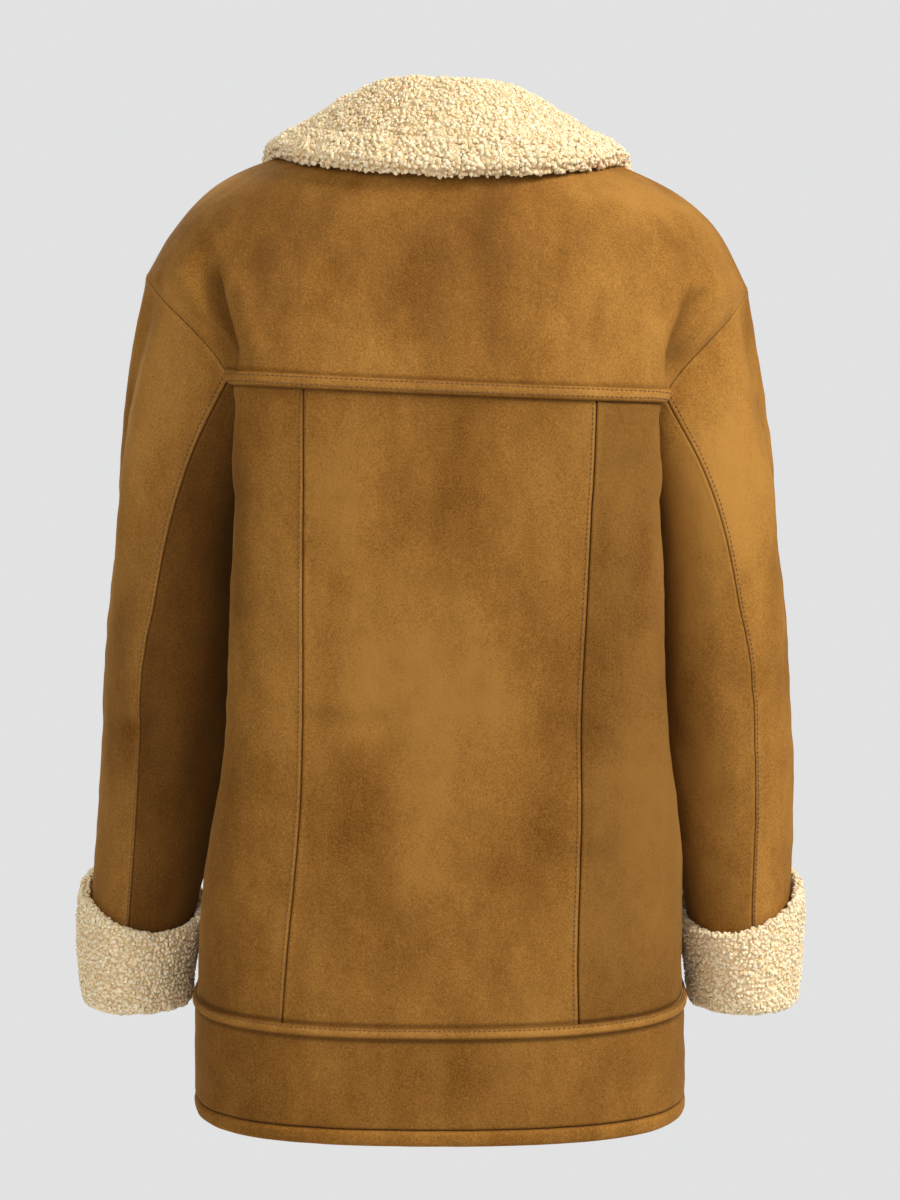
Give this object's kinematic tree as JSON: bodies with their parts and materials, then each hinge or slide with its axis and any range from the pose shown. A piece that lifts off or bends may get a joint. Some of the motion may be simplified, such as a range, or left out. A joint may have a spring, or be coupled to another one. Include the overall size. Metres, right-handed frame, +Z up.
{
  "type": "shearling coat",
  "caption": "Hip-length shearling coat as worn: suede outside, wool inside, wide turned-down wool collar, turned-back wool cuffs, open neck and hem.",
  "frame": {"origin": "middle of the neck's base, level with the tops of the wearer's shoulders, where the coat hangs from them", "axes": "+Z up along the coat's height, +X towards the wearer's left, -Y towards the front of the coat, +Y towards its back"},
  "size_m": [0.5762, 0.2853, 0.7984],
  "materials": {
    "suede": "matt tan suede with a brushed nap, uneven in tone",
    "wool": "cream curly sheep's wool",
    "horn": "dark brown horn, softly polished"
  },
  "bodies": {
    "root": {"yoke_back": "suede", "back_centre": "suede", "back_side_left": "suede", "back_side_right": "suede", "yoke_welt": "suede", "hem_band_back": "suede", "hem_edge_back": "suede", "hem_welt_back": "suede", "front_left": "suede", "hem_band_front_left": "suede", "hem_edge_front_left": "suede", "hem_welt_front_left": "suede", "front_right": "suede", "hem_band_front_right": "suede", "hem_edge_front_right": "suede", "hem_welt_front_right": "suede", "sleeve_under_left": "suede", "sleeve_top_left": "suede", "sleeve_under_right": "suede", "sleeve_top_right": "suede", "cuff_left": "wool", "cuff_right": "wool", "collar": "wool", "collar_rim": "wool", "button_1": "horn", "button_2": "horn", "button_3": "horn", "button_4": "horn"}
  },
  "joints": []
}
